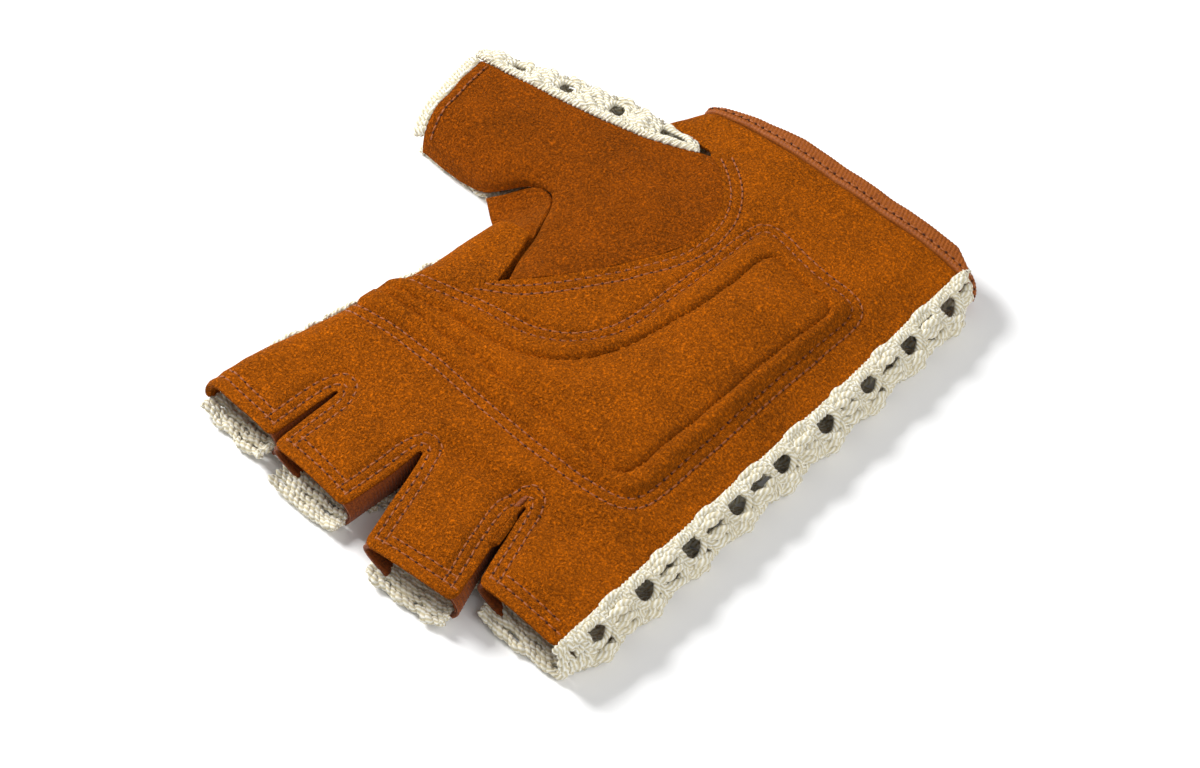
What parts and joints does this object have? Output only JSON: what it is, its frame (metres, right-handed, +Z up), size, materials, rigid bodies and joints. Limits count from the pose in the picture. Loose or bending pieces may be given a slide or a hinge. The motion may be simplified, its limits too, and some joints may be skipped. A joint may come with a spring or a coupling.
{
  "type": "fingerless cycling glove",
  "caption": "Right-hand fingerless cycling glove lying palm up: suede palm with a quilted pad, crochet cotton back, stretch side strips and taped cuff.",
  "frame": {"origin": "centre of the glove's box, on the surface that it lies on", "axes": "+Z up out of the palm, +Y to the fingers, +X to the thumb"},
  "size_m": [0.1354, 0.1476, 0.0169],
  "materials": {
    "suede": "napped suede, matt, tan orange",
    "crochet_cotton": "crocheted cotton yarn, off-white",
    "stretch_cloth": "fine ribbed stretch cloth, russet brown",
    "binding_tape": "ribbed grosgrain tape, russet brown",
    "thread": "sewing thread, brown"
  },
  "bodies": {
    "root": {"palm_panel": "suede", "palm_pad": "suede", "thumb_front": "suede", "thumb_gusset": "suede", "crochet_back": "crochet_cotton", "crochet_thumb": "crochet_cotton", "fork_little_ring": "stretch_cloth", "fork_ring_middle": "stretch_cloth", "fork_middle_index": "stretch_cloth", "cuff_binding": "binding_tape"}
  },
  "joints": []
}
